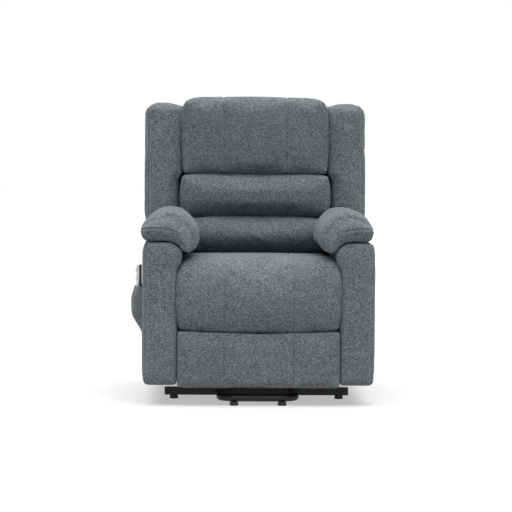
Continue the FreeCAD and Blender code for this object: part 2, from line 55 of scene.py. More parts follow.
# The seat cushion's middle is the chair's middle plane; drawings below are in mm from it.
seat_low, seat_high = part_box("seat_cushion")
MIDDLE_X = (seat_low[0] + seat_high[0]) / 2
# Where the CAD seat cushion ends behind, in those drawings.
SEAT_REAR_Y = 130
DEPTH_SHIFT = seat_high[1] - SEAT_REAR_Y * MM


def place(x, y, z):
    """A point given in mm about the chair's middle plane, in the frame's metres."""
    return Vector((MIDDLE_X + x * MM, DEPTH_SHIFT + y * MM, z * MM))


def in_mm(point):
    """The reverse of place: a point of the frame as (x, y, z) in mm about the middle plane."""
    return (point.x - MIDDLE_X) / MM, (point.y - DEPTH_SHIFT) / MM, point.z / MM


def smoothstep(low, high, value):
    t = max(0.0, min(1.0, (value - low) / (high - low)))
    return t * t * (3 - 2 * t)


# ---- Meshes ----
def new_object(name, vertices, faces):
    mesh = bpy.data.meshes.new(name)
    mesh.from_pydata(vertices, [], faces)
    mesh.validate()
    obj = bpy.data.objects.new(name, mesh)
    SCENE.collection.objects.link(obj)
    bm = bmesh.new()
    bm.from_mesh(mesh)
    bmesh.ops.recalc_face_normals(bm, faces=bm.faces)
    bm.to_mesh(mesh)
    bm.free()
    return obj


def bake(obj):
    """Keeps what the modifiers make as the object's own mesh."""
    bpy.context.view_layer.update()
    evaluated = obj.evaluated_get(bpy.context.evaluated_depsgraph_get())
    mesh = bpy.data.meshes.new_from_object(evaluated)
    obj.modifiers.clear()
    old = obj.data
    obj.data = mesh
    bpy.data.meshes.remove(old)
    mesh.name = obj.name


def remesh(obj, voxel):
    modifier = obj.modifiers.new("even", "REMESH")
    modifier.mode = "VOXEL"
    modifier.voxel_size = voxel
    soften = obj.modifiers.new("soften", "SMOOTH")
    soften.factor = 0.5
    soften.iterations = 3
    bake(obj)


def finish_soft(obj, material, levels=1):
    """Smooth shading, one more subdivision and the fabric."""
    if levels:
        modifier = obj.modifiers.new("fine", "SUBSURF")
        modifier.levels = levels
        modifier.render_levels = levels
        bake(obj)
    obj.data.materials.clear()
    obj.data.materials.append(material)
    for polygon in obj.data.polygons:
        polygon.use_smooth = True


def rounded(corners, steps=6):
    """Closed outline in a plane from (a, b, radius) corners, each turned by an arc."""
    outline = []
    count = len(corners)
    for i, (a, b, radius) in enumerate(corners):
        here = Vector((a, b))
        before = Vector(corners[i - 1][:2]) - here
        after = Vector(corners[(i + 1) % count][:2]) - here
        if radius <= 0:
            outline.append(here)
            continue
        angle = before.angle(after)
        reach = radius / math.tan(angle / 2)
        start = here + before.normalized() * reach
        end = here + after.normalized() * reach
        inwards = (before.normalized() + after.normalized()).normalized()
        centre = here + inwards * (radius / math.sin(angle / 2))
        for k in range(steps + 1):
            t = k / steps
            point = start.lerp(end, t) - centre
            outline.append(centre + point.normalized() * radius)
    return outline


def inset(outline, distance):
    """The outline moved inwards; it runs anticlockwise or clockwise alike."""
    count = len(outline)
    area = sum(outline[i].x * outline[(i + 1) % count].y - outline[(i + 1) % count].x * outline[i].y
               for i in range(count))
    turn = 1 if area > 0 else -1
    moved = []
    for i, point in enumerate(outline):
        ahead = outline[(i + 1) % count] - outline[i - 1]
        if ahead.length < 1e-9:
            moved.append(point.copy())
            continue
        normal = Vector((-ahead.y, ahead.x)).normalized() * turn
        moved.append(point + normal * distance)
    return moved


def tube_faces(ring_count, count):
    """Faces that join rings of count points into a tube and close both its ends."""
    faces = []
    for ring in range(ring_count - 1):
        a = ring * count
        for i in range(count):
            j = (i + 1) % count
            faces.append((a + i, a + j, a + count + j, a + count + i))
    faces.append(tuple(range(count)))
    faces.append(tuple(range((ring_count - 1) * count, ring_count * count)))
    return faces


def slab(name, outline, low, high, edge_low, edge_high, to_point, steps=6):
    """Closed solid: an outline stretched from low to high, with rims rounded by edge_low and edge_high."""
    turns = [math.pi / 2 * k / steps for k in range(steps + 1)]
    rings = [(low + edge_low * (1 - math.sin(t)), edge_low * (1 - math.cos(t))) for t in reversed(turns)]
    rings += [(high - edge_high * (1 - math.sin(t)), edge_high * (1 - math.cos(t))) for t in turns]
    vertices = []
    for at, back in rings:
        vertices += [to_point(point.x, point.y, at) for point in inset(outline, back)]
    return new_object(name, vertices, tube_faces(len(rings), len(outline)))


def side_slab(name, outline, x_low, x_high, edge_low, edge_high, steps=6):
    """A side outline (y, z) given a width along X."""
    return slab(name, outline, x_low, x_high, edge_low, edge_high, lambda y, z, x: place(x, y, z), steps)


def front_slab(name, outline, y_front, y_back, edge_front, edge_back):
    """A front outline (x, z) given a depth along Y."""
    return slab(name, outline, y_front, y_back, edge_front, edge_back, lambda x, z, y: place(x, y, z))


def side_piece(name, side, outline, inner, outer, inner_rim, outer_rim):
    """A side slab from inner to outer mm off the middle plane, on the given side of the chair."""
    if side > 0:
        return side_slab(name, outline, inner, outer, inner_rim, outer_rim)
    return side_slab(name, outline, -outer, -inner, outer_rim, inner_rim)


def sculpt(obj, move):
    """Moves each vertex by what move(x, y, z) says, in mm about the middle plane."""
    for vertex in obj.data.vertices:
        vertex.co += Vector(move(*in_mm(vertex.co))) * MM
    obj.data.update()


def join(obj, other):
    """Adds another object's mesh to this one and removes that object."""
    mesh = bmesh.new()
    mesh.from_mesh(obj.data)
    mesh.from_mesh(other.data)
    mesh.to_mesh(obj.data)
    mesh.free()
    bpy.data.objects.remove(other)


# How many widths from its middle a groove still sinks the surface.
GROOVE_REACH = 3


def groove(obj, distance, depth, width):
    """Sinks the surface by depth mm where distance(x, y, z, normal) is near 0, as a pulled seam does."""
    mesh = obj.data
    normals = [vertex.normal.copy() for vertex in mesh.vertices]
    for vertex, normal in zip(mesh.vertices, normals):
        gap = distance(*in_mm(vertex.co), normal)
        if gap is not None and abs(gap) < GROOVE_REACH * width:
            vertex.co -= normal * (depth * MM * math.exp(-(gap / width) ** 2))
    mesh.update()


# ---- Padding ----
CLOTH_PHYSICS = {
    "quality": 4,
    "mass": 0.25,
    "tension_stiffness": 18,
    "compression_stiffness": 12,
    "shear_stiffness": 8,
    "bending_stiffness": 0.6,
    "tension_damping": 12,
    "compression_damping": 12,
    "air_damping": 2,
    "use_pressure": True,
}
INFLATE_FRAMES = 16
waiting = []


def stuff(obj, pressure, cap, pinned, slack):
    """Puts a piece in the row for the cloth simulation. pinned(x, y, z, normal) is true where it is held."""
    waiting.append((obj, pressure, cap, pinned, slack))


def inflate_waiting():
    """Swells the waiting pieces together under air pressure; no vertex moves more than its cap in mm."""
    for obj, pressure, _, pinned, slack in waiting:
        modifier = obj.modifiers.new("stuffing", "CLOTH")
        cloth = modifier.settings
        for key, value in CLOTH_PHYSICS.items():
            setattr(cloth, key, value)
        cloth.uniform_pressure_force = pressure
        cloth.shrink_min = -slack
        cloth.effector_weights.gravity = 0
        modifier.collision_settings.use_collision = False
        modifier.collision_settings.use_self_collision = False
        modifier.point_cache.frame_start = 1
        modifier.point_cache.frame_end = INFLATE_FRAMES
        group = obj.vertex_groups.new(name="held")
        held = []
        for vertex in obj.data.vertices:
            if pinned(*in_mm(vertex.co), vertex.normal):
                held.append(vertex.index)
        group.add(held, 1.0, "REPLACE")
        cloth.vertex_group_mass = "held"
        cloth.pin_stiffness = 1
    for frame_number in range(1, INFLATE_FRAMES + 1):
        SCENE.frame_set(frame_number)
    graph = bpy.context.evaluated_depsgraph_get()
    for obj, _, cap, _, _ in waiting:
        swollen = obj.evaluated_get(graph).data
        moved = [vertex.co.copy() for vertex in swollen.vertices]
        obj.modifiers.clear()
        for vertex, new in zip(obj.data.vertices, moved):
            step = new - vertex.co
            if step.length > cap * MM:
                step = step.normalized() * cap * MM
            vertex.co += step
        obj.vertex_groups.clear()
        obj.data.update()
    SCENE.frame_set(1)
    waiting.clear()


# ---- Materials ----
def new_material(name):
    material = bpy.data.materials.new(name)
    material.use_nodes = True
    tree = material.node_tree
    tree.nodes.clear()
    output = tree.nodes.new("ShaderNodeOutputMaterial")
    shader = tree.nodes.new("ShaderNodeBsdfPrincipled")
    tree.links.new(shader.outputs["BSDF"], output.inputs["Surface"])
    return material, tree, shader


def node(tree, kind, inputs=None, **settings):
    made = tree.nodes.new(kind)
    for key, value in settings.items():
        setattr(made, key, value)
    for key, value in (inputs or {}).items():
        socket = made.inputs[key]
        if isinstance(value, bpy.types.NodeSocket):
            tree.links.new(value, socket)
        else:
            socket.default_value = value
    return made


def maths(tree, operation, first, second=0.0, third=0.0):
    made = tree.nodes.new("ShaderNodeMath")
    made.operation = operation
    for i, value in enumerate((first, second, third)):
        if isinstance(value, bpy.types.NodeSocket):
            tree.links.new(value, made.inputs[i])
        else:
            made.inputs[i].default_value = value
    return made.outputs[0]


def ramp(tree, value, stops):
    made = node(tree, "ShaderNodeValToRGB", {"Fac": value})
    elements = made.color_ramp.elements
    while len(elements) < len(stops):
        elements.new(0.5)
    for element, (at, colour) in zip(elements, stops):
        element.position = at
        element.color = (*colour, 1)
    return made.outputs["Color"]


def mix_colour(tree, factor, first, second):
    made = tree.nodes.new("ShaderNodeMix")
    made.data_type = "RGBA"
    for socket, value in ((made.inputs[0], factor), (made.inputs[6], first), (made.inputs[7], second)):
        if isinstance(value, bpy.types.NodeSocket):
            tree.links.new(value, socket)
        else:
            socket.default_value = (*value, 1)
    return made.outputs[2]


def bump(tree, shader, height, distance, strength):
    made = node(tree, "ShaderNodeBump", {"Height": height, "Distance": distance, "Strength": strength})
    tree.links.new(made.outputs["Normal"], shader.inputs["Normal"])


def object_coords(tree):
    return node(tree, "ShaderNodeTexCoord").outputs["Object"]


def noise_value(tree, coords, scale, detail, **more):
    inputs = {"Vector": coords, "Scale": scale, "Detail": detail, **more}
    return node(tree, "ShaderNodeTexNoise", inputs).outputs["Fac"]


def tinted(colour, factor):
    """A colour made darker or lighter, no part of it above 1."""
    return tuple(min(1, part * factor) for part in colour)


def dress_shader(tree, shader, colour, roughness):
    tree.links.new(colour, shader.inputs["Base Color"])
    tree.links.new(roughness, shader.inputs["Roughness"])


def blend_value(tree, share, first, second):
    """first where share is 0 and second where it is 1."""
    return maths(tree, "MULTIPLY_ADD", share, maths(tree, "SUBTRACT", second, first), first)


def fabric(name, dark, light, yarn=5.2 * MM, stripe=21 * MM):
    """Heathered herringbone upholstery cloth: mixed yarns, ribs that change slant, and cloudy wear."""
    material, tree, shader = new_material(name)
    coords = object_coords(tree)
    axes = node(tree, "ShaderNodeSeparateXYZ", {0: coords})
    facing = node(tree, "ShaderNodeTexCoord").outputs["Normal"]
    facing = node(tree, "ShaderNodeVectorMath", {0: facing}, operation="ABSOLUTE").outputs[0]
    facing = node(tree, "ShaderNodeSeparateXYZ", {0: facing}).outputs
    other = maths(tree, "MAXIMUM", facing["Y"], facing["Z"])
    sideways = maths(tree, "GREATER_THAN", facing["X"], other)
    other = maths(tree, "MAXIMUM", facing["X"], facing["Y"])
    upwards = maths(tree, "GREATER_THAN", facing["Z"], other)
    across = blend_value(tree, sideways, axes.outputs["X"], axes.outputs["Y"])
    rise = blend_value(tree, upwards, axes.outputs["Z"], axes.outputs["Y"])
    column = maths(tree, "FRACT", maths(tree, "DIVIDE", across, 2 * stripe))
    second_half = maths(tree, "GREATER_THAN", column, 0.5)
    side = maths(tree, "SUBTRACT", maths(tree, "MULTIPLY", second_half, 2.0), 1.0)
    slant = maths(tree, "MULTIPLY_ADD", side, across, rise)
    wobble = noise_value(tree, coords, 40.0, 2.0)
    slant = maths(tree, "ADD", slant, maths(tree, "MULTIPLY", wobble, 0.5 * yarn))
    rib = maths(tree, "SINE", maths(tree, "MULTIPLY", slant, 2 * math.pi / yarn))
    rib = maths(tree, "MULTIPLY_ADD", rib, 0.5, 0.5)
    tuft = node(tree, "ShaderNodeTexVoronoi", {"Vector": coords, "Scale": 1.9 / yarn})
    shade = node(tree, "ShaderNodeSeparateColor", {0: tuft.outputs["Color"]}).outputs[0]
    slub = noise_value(tree, coords, 420.0, 1.0, Roughness=0.6)
    cloud = noise_value(tree, coords, 8.0, 3.0)
    speck = maths(tree, "MULTIPLY", shade, 0.42)
    for layer, share in ((rib, 0.26), (slub, 0.20), (cloud, 0.12)):
        speck = maths(tree, "MULTIPLY_ADD", layer, share, speck)
    middle = tuple(0.62 * a + 0.38 * b for a, b in zip(dark, light))
    colour = ramp(tree, speck, ((0.22, dark), (0.50, middle), (0.82, light)))
    dress_shader(tree, shader, colour, maths(tree, "MULTIPLY_ADD", shade, 0.15, 0.8))
    shader.inputs["Specular IOR Level"].default_value = 0.15
    shader.inputs["Sheen Weight"].default_value = 0.12
    shader.inputs["Sheen Roughness"].default_value = 0.4
    shader.inputs["Sheen Tint"].default_value = (0.8, 0.85, 0.9, 1)
    height = maths(tree, "MULTIPLY_ADD", rib, 0.6, maths(tree, "MULTIPLY", tuft.outputs["Distance"], -0.8))
    bump(tree, shader, height, 0.16 * yarn, 0.7)
    return material


def metal_paint(name, colour, worn, roughness):
    """Powder coat or plating with orange peel, dust and rubbed spots."""
    material, tree, shader = new_material(name)
    coords = object_coords(tree)
    peel = noise_value(tree, coords, 700.0, 2.0)
    patch = noise_value(tree, coords, 22.0, 5.0)
    rubbed = maths(tree, "MULTIPLY", maths(tree, "GREATER_THAN", patch, 0.66), 0.5)
    shade = mix_colour(tree, patch, tinted(colour, 0.8), tinted(colour, 1.25))
    worn_shade = mix_colour(tree, rubbed, shade, worn)
    dress_shader(tree, shader, worn_shade, maths(tree, "MULTIPLY_ADD", patch, 0.22, roughness - 0.1))
    shader.inputs["Metallic"].default_value = 0.35
    bump(tree, shader, peel, 0.0003, 0.5)
    return material


def bare_steel(name, colour, roughness, stretch=(1, 1, 40)):
    """Brushed or drawn steel with fine lines."""
    material, tree, shader = new_material(name)
    coords = object_coords(tree)
    mapped = node(tree, "ShaderNodeMapping", {"Vector": coords, "Scale": stretch})
    lines = noise_value(tree, mapped.outputs[0], 60.0, 4.0)
    stain = noise_value(tree, coords, 30.0, 4.0)
    shade = mix_colour(tree, stain, tinted(colour, 0.75), colour)
    dress_shader(tree, shader, shade, maths(tree, "MULTIPLY_ADD", lines, 0.25, roughness - 0.12))
    shader.inputs["Metallic"].default_value = 1.0
    bump(tree, shader, lines, 0.0001, 0.4)
    return material


def moulded(name, colour, roughness, grain=900.0):
    """Moulded plastic or rubber with a spark-eroded grain."""
    material, tree, shader = new_material(name)
    coords = object_coords(tree)
    cell = node(tree, "ShaderNodeTexVoronoi", {"Vector": coords, "Scale": grain}).outputs["Distance"]
    smear = noise_value(tree, coords, 45.0, 4.0)
    shade = mix_colour(tree, smear, tinted(colour, 0.85), tinted(colour, 1.1))
    dress_shader(tree, shader, shade, maths(tree, "MULTIPLY_ADD", smear, 0.2, roughness - 0.1))
    bump(tree, shader, cell, 0.00015, 0.6)
    return material


PLY_STOPS = ((0.3, (0.28, 0.16, 0.075)), (0.5, (0.46, 0.31, 0.16)), (0.7, (0.58, 0.42, 0.24)))


def plywood(name):
    """Birch ply and pine rails: bands of long grain, and pores."""
    material, tree, shader = new_material(name)
    coords = object_coords(tree)
    mapped = node(tree, "ShaderNodeMapping", {"Vector": coords, "Scale": (3, 22, 22)})
    bands = noise_value(tree, mapped.outputs[0], 4.0, 6.0, Distortion=0.6)
    pores = noise_value(tree, mapped.outputs[0], 60.0, 3.0)
    colour = ramp(tree, bands, PLY_STOPS)
    dress_shader(tree, shader, colour, maths(tree, "MULTIPLY_ADD", pores, 0.2, 0.55))
    bump(tree, shader, pores, 0.0004, 0.5)
    return material


CLOTH = fabric("grey_herringbone", (0.022, 0.026, 0.029), (0.172, 0.188, 0.200))
THREAD = fabric("grey_thread", (0.09, 0.10, 0.11), (0.26, 0.28, 0.30), yarn=1.2 * MM)
LINING = fabric("black_lining", (0.008, 0.008, 0.009), (0.035, 0.036, 0.038), yarn=2 * MM)


# ---- CAD nodes with better materials ----
SLOT_MATERIALS = {
    "base_steel": metal_paint("black_powder_coat", (0.007, 0.007, 0.008), (0.03, 0.03, 0.032), 0.40),
    "mechanism_steel": metal_paint("satin_black_paint", (0.02, 0.02, 0.021), (0.10, 0.10, 0.10), 0.38),
    "zinc_pins": bare_steel("zinc_plate", (0.55, 0.56, 0.58), 0.35),
    "actuator_plastic": moulded("actuator_black", (0.014, 0.014, 0.015), 0.5),
    "rod_steel": bare_steel("drawn_steel", (0.6, 0.61, 0.62), 0.28, (1, 40, 1)),
    "frame_wood": plywood("birch_ply"),
    "glide_rubber": moulded("glide_rubber", (0.012, 0.012, 0.012), 0.7, 500.0),
    "handset_silver": moulded("handset_silver", (0.60, 0.61, 0.63), 0.36, 1400.0),
    "handset_black": moulded("handset_black", (0.012, 0.012, 0.013), 0.42, 1400.0),
    "button_grey": moulded("button_grey", (0.07, 0.075, 0.08), 0.55, 1200.0),
    "spring_steel": bare_steel("spring_wire", (0.28, 0.28, 0.29), 0.4),
}


def dress_cad_nodes():
    slots = {part["node"]: part["material_slot"] for part in frame["record"]["subparts"]}
    for name, obj in frame["nodes"].items():
        material = SLOT_MATERIALS.get(slots.get(name))
        if material is None:
            continue
        if not obj.material_slots:
            obj.data.materials.append(material)
        for slot in obj.material_slots:
            slot.material = material


def upholster(obj, body, node_name):
    """Dresses a soft piece in the given cloth, gives it its body and hides the CAD solid it stands for."""
    finish_soft(obj, CLOTH)
    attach(obj, body)
    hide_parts(node_name)


# ---- Sewing ----
BACKWARDS = (0, 1, 0)
FORWARDS = (0, -1, 0)
DOWN = (0, 0, -1)
LEFTWARDS = (1, 0, 0)
# In metres. A longer step than TRACK_JUMP between two hits is a break in the row.
RAY_START = 0.25
RAY_REACH = 0.6
TRACK_JUMP = 0.03
# In mm.
THREAD_RADIUS = 1.0
THREAD_SIDES = 6
# Rings of one stitch: place along it, thickness and lift, as shares of its length and radius.
STITCH_RINGS = ((-0.5, 0.25, -0.6), (-0.36, 0.9, 0.1), (0.0, 1.0, 0.45), (0.36, 0.9, 0.1), (0.5, 0.25, -0.6))


def line(start, end, count=60):
    """Points between two places given in mm about the middle plane."""
    return [Vector(start).lerp(Vector(end), k / count) for k in range(count + 1)]


def surface_line(host, points, towards):
    """Where rays cast along towards, through the points, meet the host: (place, normal) pairs."""
    tree = BVHTree.FromPolygons([v.co for v in host.data.vertices], [p.vertices for p in host.data.polygons])
    aim = Vector(towards).normalized()
    found = []
    for point in points:
        start = place(*point) - aim * RAY_START
        hit, normal, _, _ = tree.ray_cast(start, aim, RAY_REACH)
        if hit is not None:
            found.append((hit, normal))
    return found


def sew(host, name, lines, body, length=6.0, gap=3.0):
    """Rows of single thread stitches lying on a host, as one piece. lines are (points, towards) pairs."""
    vertices = []
    faces = []
    for points, towards in lines:
        track = surface_line(host, points, towards)
        travelled = 0.0
        next_start = 0.0
        for (here, normal_here), (there, normal_there) in zip(track, track[1:]):
            span = (there - here).length
            if span > TRACK_JUMP:
                travelled += span
                next_start = travelled
                continue
            while next_start < travelled + span and span > 1e-6:
                share = (next_start - travelled) / span
                ahead = (there - here).normalized()
                up = normal_here.lerp(normal_there, share).normalized()
                stitch(vertices, faces, here.lerp(there, share), ahead, up, length * MM)
                next_start += (length + gap) * MM
            travelled += span
    piece = new_object(name, vertices, faces)
    finish_soft(piece, THREAD, 0)
    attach(piece, body)


def stitch(vertices, faces, at, ahead, up, length):
    """One thread: an arched spindle that dives into the cloth at both ends."""
    base = len(vertices)
    side = ahead.cross(up).normalized()
    thick = THREAD_RADIUS * MM
    for along_share, fat, lift in STITCH_RINGS:
        centre = at + ahead * (along_share * length) + up * (lift * thick)
        for k in range(THREAD_SIDES):
            turn = 2 * math.pi * k / THREAD_SIDES
            vertices.append(centre + (side * math.cos(turn) + up * math.sin(turn)) * (fat * thick))
    for face in tube_faces(len(STITCH_RINGS), THREAD_SIDES):
        faces.append(tuple(base + corner for corner in face))


# ---- Back cushions ----
PANEL_SEAM = 114
CUSHION_REAR = 299
CUSHION_SLACK = 0.006
HEAD_OUTLINE = [(-258, 770, 7), (257, 770, 7), (259, 900, 300), (253, 1036, 26), (0, 1042, 2600),
                (-257, 1038, 26), (-262, 900, 300)]
MIDDLE_OUTLINE = [(-263, 618, 11), (263, 618, 11), (268, 690, 120), (262, 766, 9),
                  (-262, 766, 9), (-268, 690, 120)]
LUMBAR_OUTLINE = [(-264, 493, 14), (264, 493, 14), (268, 550, 120), (263, 612, 12),
                  (-263, 612, 12), (-268, 550, 120)]
LINING_OUTLINE = [(-273, 464, 4), (273, 464, 4), (273, 1011, 4), (-273, 1011, 4)]
LINING_DEPTH = (298.4, 299.8)


def cushion(name, outline, front, edge, cap, crown, panel=None):
    """A back cushion: its front is crowned and its rear lies flat on the frame. panel is a seam's x."""
    piece = front_slab(name, rounded(outline, 8), front, CUSHION_REAR, edge, 6)
    remesh(piece, 7 * MM)
    xs = [corner[0] for corner in outline]
    zs = [corner[1] for corner in outline]
    half = max(xs)
    middle = (min(zs) + max(zs)) / 2
    tall = (max(zs) - min(zs)) / 2

    def swell(x, y, z):
        near = smoothstep(290, front + 30, y)
        across = max(0, 1 - (abs(x) / half) ** 3)
        up = max(0, 1 - (abs(z - middle) / tall) ** 2.5)
        outwards = 2.5 * math.copysign(1, x) * up * near * smoothstep(half - 60, half, abs(x))
        return (outwards, -crown * near * across * up, 0)
    sculpt(piece, swell)

    def held(x, y, z, normal):
        on_seam = panel is not None and abs(abs(x) - panel) < 4 and normal.y < -0.6
        in_corner = abs(x) > half - 24 and (z < min(zs) + 15 or panel is None and z > max(zs) - 15)
        return y > 272 or on_seam or in_corner
    stuff(piece, 4.0, cap, held, CUSHION_SLACK)
    return piece


def back_cushions():
    head = cushion("head_rest", HEAD_OUTLINE, 168, 14, 7, 10, PANEL_SEAM)
    middle = cushion("middle_pillow", MIDDLE_OUTLINE, 148, 20, 8, 12)
    lumbar = cushion("lumbar_pillow", LUMBAR_OUTLINE, 128, 28, 9, 10)
    return [(head, "head_cushion"), (middle, "middle_cushion"), (lumbar, "lumbar_cushion")]


def back_lining():
    """Thin black cloth over the front of the back frame."""
    return front_slab("back_frame_lining", rounded(LINING_OUTLINE), *LINING_DEPTH, 0.5, 0.5)


# ---- Seat and legrest ----
SEAT_SEAM = 118
SEAT_HALF = 273.5
SEAT_OUTLINE = [(214, 440, 8), (126, 432, 20), (126, 349, 8), (-331, 349, 8), (-331, 249, 6),
                (-424, 247, 14), (-440, 330, 90), (-439, 440, 50), (-405, 480, 50), (-300, 480, 200),
                (120, 480, 60), (214, 476, 10)]
LEGREST_OUTLINE = [(-274, 61, 12), (274, 61, 12), (274, 252, 4), (0, 243, 900), (-274, 252, 4)]
LEGREST_DEPTH = (-427, -398.6)


def seat():
    """Seat cushion with its rolled front, which hangs down before the wooden rail."""
    piece = side_slab("seat", rounded(SEAT_OUTLINE, 8), -SEAT_HALF, SEAT_HALF, 15, 15)
    remesh(piece, 8 * MM)

    def shape(x, y, z):
        across = max(0, 1 - (abs(x) / 272) ** 2.2)
        rim = smoothstep(215, 272, abs(x))
        top = smoothstep(425, 484, z)
        roll = smoothstep(-400, -436, y)
        belly = max(0, 1 - ((z - 350) / 105) ** 2)
        side = math.copysign(1, x)
        front = smoothstep(60, -120, y) * (0.25 if x > 0 else 0.75)
        out = side * (6 * roll * belly * rim - 9 * rim * top * front)
        crown = 5 * across * top * smoothstep(-380, -250, y) * smoothstep(126, 20, y)
        rise = -9 * rim ** 1.6 * top * front + 13 * top * smoothstep(-180, -370, y) + crown
        lip = (9 - 12 * across) * smoothstep(300, 262, z) * smoothstep(-350, -420, y)
        return (out, 4 - 8 * across * roll * belly, rise + lip)
    sculpt(piece, shape)

    def held(x, y, z, normal):
        underside = z < 362 and y > -325
        on_seam = abs(abs(x) - SEAT_SEAM) < 4.5 and normal.y < -0.4
        lower_corner = abs(x) > 258 and z < 268
        return underside or y > 118 or on_seam or lower_corner
    stuff(piece, 3.6, 10, held, 0.012)
    return piece


def legrest():
    piece = front_slab("legrest_panel", rounded(LEGREST_OUTLINE), *LEGREST_DEPTH, 7, 1.5)
    remesh(piece, 6 * MM)

    def crown(x, y, z):
        across = max(0, 1 - (x / 272) ** 4)
        up = max(0, 1 - (abs(z - 150) / 96) ** 3)
        return (0, -4 * smoothstep(-405, -425, y) * across * up, 0)
    sculpt(piece, crown)

    def held(x, y, z, normal):
        at_edge = z > 236 or abs(x) > 266
        on_seam = abs(abs(x) - SEAT_SEAM) < 3.5 and normal.y < -0.6
        return y > -402 or at_edge or on_seam
    stuff(piece, 4.0, 6, held, 0.012)
    return piece


# ---- Arms ----
HINGE = (250, 430)
ARM_SPAN = (274, 387.5)
ARM_TOP = 549
ARM_REAR = 407
ARM_ARC = 159.5


def hinge_arc(radius, first, last, count):
    """Points of a circle about the back's hinge, between two angles in degrees."""
    angles = [math.radians(first + k * (last - first) / count) for k in range(count + 1)]
    return [(HINGE[0] + radius * math.cos(a), HINGE[1] + radius * math.sin(a), 0) for a in angles]


def arm_side_outline():
    """An arm seen from the side: its rear upper corner is cut away by an arc about the back's hinge."""
    first = 180 - math.degrees(math.asin((ARM_TOP - HINGE[1]) / ARM_ARC))
    last = math.degrees(math.acos((ARM_REAR - HINGE[0]) / ARM_ARC))
    arc = hinge_arc(ARM_ARC, first, last, 12)
    return rounded([(-424, 69, 16), (-424, ARM_TOP, 14), *arc, (ARM_REAR, 69, 12)])


def arms():
    made = []
    for name, side in SIDES:
        piece = side_piece(f"arm_{name}", side, arm_side_outline(), *ARM_SPAN, 5, 15)
        remesh(piece, 8 * MM)

        def shape(x, y, z, side=side):
            u = side * x
            face = smoothstep(-405, -424, y)
            inner = smoothstep(330, 277, u) * smoothstep(80, -40, y)
            bulge = max(0, 1 - ((z - 503) / 46) ** 2)
            round_in = smoothstep(515, 551, z) * smoothstep(300, 262, u)
            outer = smoothstep(340, 387, u)
            swell = max(0, 1 - ((z - 330) / 265) ** 2) * max(0, 1 - ((y + 10) / 420) ** 4)
            outwards = side * (-17 * inner * bulge + 2.5 * outer * swell)
            return (outwards, -5 * face * max(0, 1 - ((u - 332) / 60) ** 2), -16 * round_in)
        sculpt(piece, shape)

        def held(x, y, z, normal, side=side):
            under_pillow = z > 536 and y < 130
            at_rim = z < 78 or y > 390
            on_seam = abs(y + 418) < 5 and side * x > 376
            return side * x < 288 or under_pillow or at_rim or on_seam
        stuff(piece, 2.5, 4, held, 0.008)
        made.append((piece, f"arm_cover_{name}"))
    return made


# ---- Arm pillows ----
# The drawn section in (distance from the middle plane, z): over the top, along the seam, underneath.
PAD_TOP = [(398, 592), (390, 606), (374, 622), (346, 640), (320, 651), (296, 655), (274, 651),
           (252, 638), (230, 619), (214, 596), (207, 568), (206, 543), (215, 523), (232, 513)]
PAD_SEAM = [(398, 592), (370, 596), (340, 597), (306, 594), (276, 584), (254, 566), (240, 543), (234, 520)]
PAD_UNDER = [(232, 513), (250, 518), (263, 528), (277, 543), (303, 552), (330, 552.5), (356, 552.5),
             (376, 553), (386, 561), (393, 576), (398, 592)]


def along(points, t):
    """The point at share t of the length of an open line through points."""
    spans = [(Vector(b) - Vector(a)).length for a, b in zip(points, points[1:])]
    left = t * sum(spans)
    for i, span in enumerate(spans):
        if left <= span or i == len(spans) - 1:
            p0, p1 = Vector(points[max(0, i - 1)]), Vector(points[i])
            p2, p3 = Vector(points[i + 1]), Vector(points[min(len(points) - 1, i + 2)])
            f = min(1.0, left / span)
            return 0.5 * (2 * p1 + (p2 - p0) * f + (2 * p0 - 5 * p1 + 4 * p2 - p3) * f ** 2
                          + (3 * p1 - p0 - 3 * p2 + p3) * f ** 3)
        left -= span


# How far out a pillow reaches: at its nose on each side, at its rear, and as drawn.
OUTER_END = {1: 386, -1: 401}
REAR_OUTER_END = 391
DRAWN_END = 398
STRETCH_FROM = 340
PAD_CENTRE = Vector((300, 580))
PAD_UPPER_POINTS = 44
PAD_LOWER_POINTS = 26
PAD_FRONT = -434
PAD_NOSE = 74
PAD_REAR = 131
PAD_REAR_OVER_SEAT = 95


def stretch(u, drawn_end, end):
    """Moves what lies beyond STRETCH_FROM so that drawn_end comes to lie at end."""
    if u < STRETCH_FROM:
        return u
    return STRETCH_FROM + (u - STRETCH_FROM) * (end - STRETCH_FROM) / (drawn_end - STRETCH_FROM)


def pad_ring(open_share, shrink, y, side):
    """One cross-section of an arm pillow: open_share is 0 on the front boxing and 1 behind its nose."""
    ring = []
    for k in range(PAD_UPPER_POINTS):
        t = k / PAD_UPPER_POINTS
        ring.append(along(PAD_SEAM, t).lerp(along(PAD_TOP, t), open_share))
    for k in range(PAD_LOWER_POINTS):
        ring.append(along(PAD_UNDER, k / PAD_LOWER_POINTS))
    front_end = OUTER_END[side]
    end = front_end + (REAR_OUTER_END - front_end) * smoothstep(-340, -275, y)
    points = []
    for point in ring:
        point = PAD_CENTRE + (point - PAD_CENTRE) * shrink
        point.x = stretch(point.x, DRAWN_END, end)
        depth = min(y, PAD_REAR if point.x > 277 else PAD_REAR_OVER_SEAT)
        points.append(place(side * point.x, depth, point.y))
    return points


